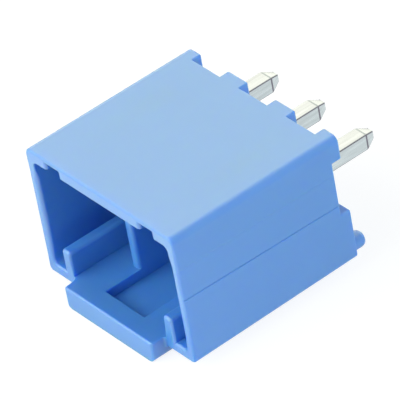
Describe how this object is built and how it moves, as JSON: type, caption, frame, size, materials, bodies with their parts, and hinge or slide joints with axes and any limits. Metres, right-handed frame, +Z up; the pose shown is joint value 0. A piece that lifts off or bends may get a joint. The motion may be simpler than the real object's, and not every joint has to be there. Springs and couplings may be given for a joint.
{
  "type": "shrouded pin header",
  "caption": "Board-mount plug connector: an open rectangular moulded shroud with guide ribs, keyways and a latch tongue around square pins whose solder tails leave the back.",
  "frame": {"origin": "middle of the footprint, on the flat underside of the rail that the header lies on", "axes": "+X along the pin row, +Y towards the circuit board and the solder tails, +Z up, from the rail to the top wall"},
  "size_m": [0.0138, 0.0178, 0.0101],
  "materials": {
    "moulded_nylon": "satin moulded nylon, light blue",
    "tinned_pin": "bright tin plating over brass"
  },
  "bodies": {
    "root": {"housing": "moulded_nylon", "pin_left": "tinned_pin", "pin_middle": "tinned_pin", "pin_right": "tinned_pin"}
  },
  "joints": []
}
